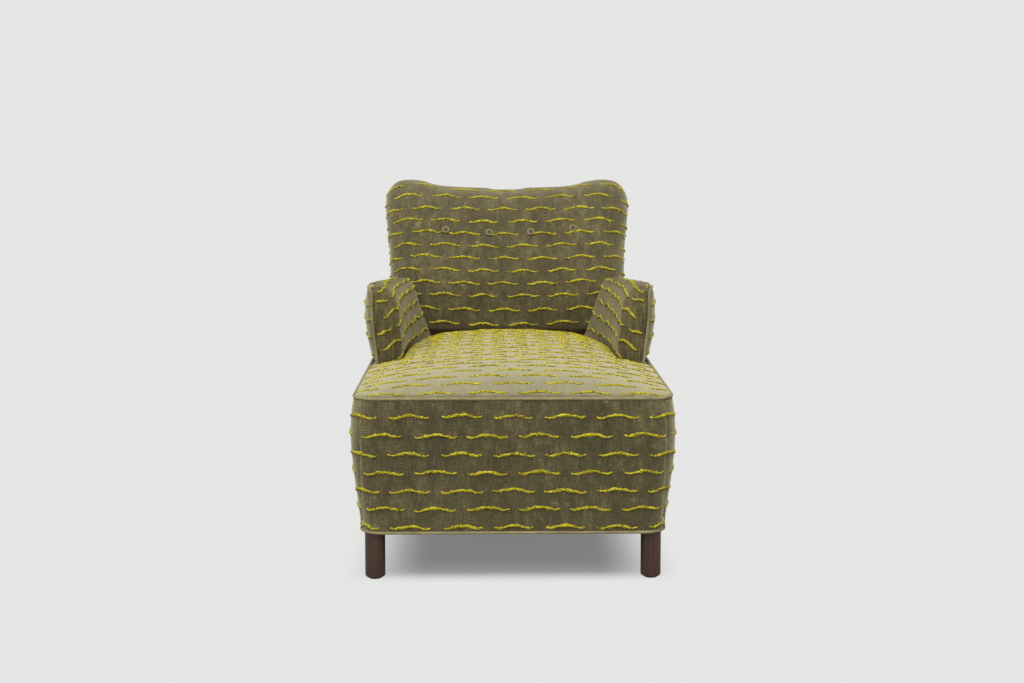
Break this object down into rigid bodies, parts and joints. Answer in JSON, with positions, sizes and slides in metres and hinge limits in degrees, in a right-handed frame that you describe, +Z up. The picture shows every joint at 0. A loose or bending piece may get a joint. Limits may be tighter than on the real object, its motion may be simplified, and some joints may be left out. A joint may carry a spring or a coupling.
{
  "type": "chaise longue",
  "caption": "Upholstered chaise longue with a long crowned seat, a reclined buttoned back, short flared arms and round wooden legs.",
  "frame": {"origin": "on the floor, under the middle of the footprint box", "axes": "+Z up, +Y from the foot end towards the back, +X to the right of someone who faces the foot end"},
  "size_m": [0.7892, 1.4016, 0.8812],
  "materials": {
    "velvet": "olive slub velvet with raised yellow-green boucle dashes",
    "leg_wood": "dark-stained hardwood, satin",
    "frame_wood": "raw beech",
    "padding": "white felted padding",
    "webbing": "woven jute webbing",
    "hessian": "plain-woven hessian",
    "dust_cloth": "black bottoming cloth",
    "bolt_steel": "zinc-plated steel",
    "glide_plastic": "dark nylon"
  },
  "bodies": {
    "root": {"back_buttons": "velvet", "back_hessian": "hessian", "back_pad": "padding", "back_webbing": "webbing", "border_pad": "padding", "bottom_welt": "velvet", "button_ties": "hessian", "crest_rail": "frame_wood", "dust_cover": "dust_cloth", "front_border_cover": "velvet", "front_left_leg": "leg_wood", "front_lower_rail": "frame_wood", "front_right_leg": "leg_wood", "front_upper_rail": "frame_wood", "inside_back_cover": "velvet", "left_arm_pad": "padding", "left_arm_post": "frame_wood", "left_arm_rail": "frame_wood", "left_arm_welt": "velvet", "left_back_stile": "frame_wood", "left_border_cover": "velvet", "left_front_post": "frame_wood", "left_inside_arm_cover": "velvet", "left_lower_rail": "frame_wood", "left_outside_arm_cover": "velvet", "left_upper_rail": "frame_wood", "leg_bolts": "bolt_steel", "leg_glides": "glide_plastic", "lower_back_rail": "frame_wood", "lumbar_rail": "frame_wood", "outside_back_cover": "velvet", "rear_border_cover": "velvet", "rear_left_leg": "leg_wood", "rear_lower_rail": "frame_wood", "rear_right_leg": "leg_wood", "rear_upper_rail": "frame_wood", "right_arm_pad": "padding", "right_arm_post": "frame_wood", "right_arm_rail": "frame_wood", "right_arm_welt": "velvet", "right_back_stile": "frame_wood", "right_border_cover": "velvet", "right_front_post": "frame_wood", "right_inside_arm_cover": "velvet", "right_lower_rail": "frame_wood", "right_outside_arm_cover": "velvet", "right_upper_rail": "frame_wood", "seat_cover": "velvet", "seat_cross_webbing": "webbing", "seat_hessian": "hessian", "seat_long_webbing": "webbing", "seat_pad": "padding", "seat_stretcher": "frame_wood", "top_welt": "velvet"}
  },
  "joints": []
}
